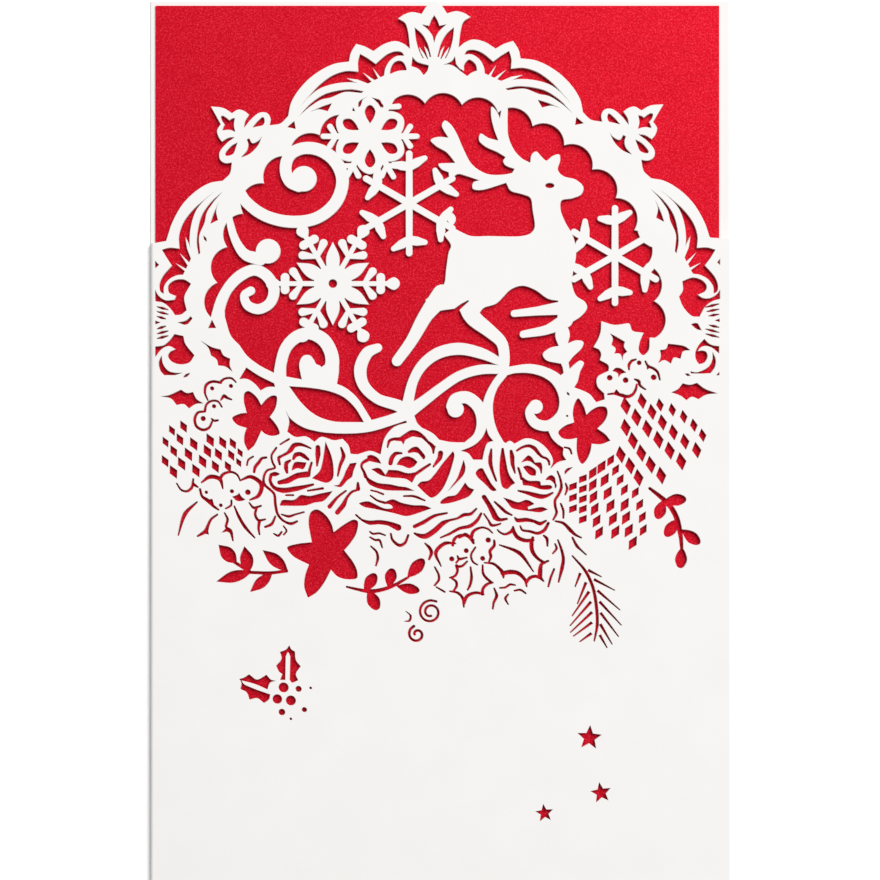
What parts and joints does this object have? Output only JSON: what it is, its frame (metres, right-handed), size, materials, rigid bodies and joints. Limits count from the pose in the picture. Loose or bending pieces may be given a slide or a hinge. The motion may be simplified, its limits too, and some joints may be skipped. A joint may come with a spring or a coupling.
{
  "type": "laser cut greeting card",
  "caption": "Closed side-fold greeting card with a laser cut lace window of a leaping reindeer over a red shimmer insert, lying flat.",
  "frame": {"origin": "under the middle of the closed card, on the plane it lies on", "axes": "+Y from the card's bottom edge to its top, +Z out of the pierced front, +X from the fold to the open edge"},
  "size_m": [0.12, 0.185, 0.0015],
  "materials": {
    "white_card": "matt white card",
    "red_card": "red card with a fine shimmer"
  },
  "bodies": {
    "root": {"card_cover": "white_card", "red_insert": "red_card"}
  },
  "joints": []
}
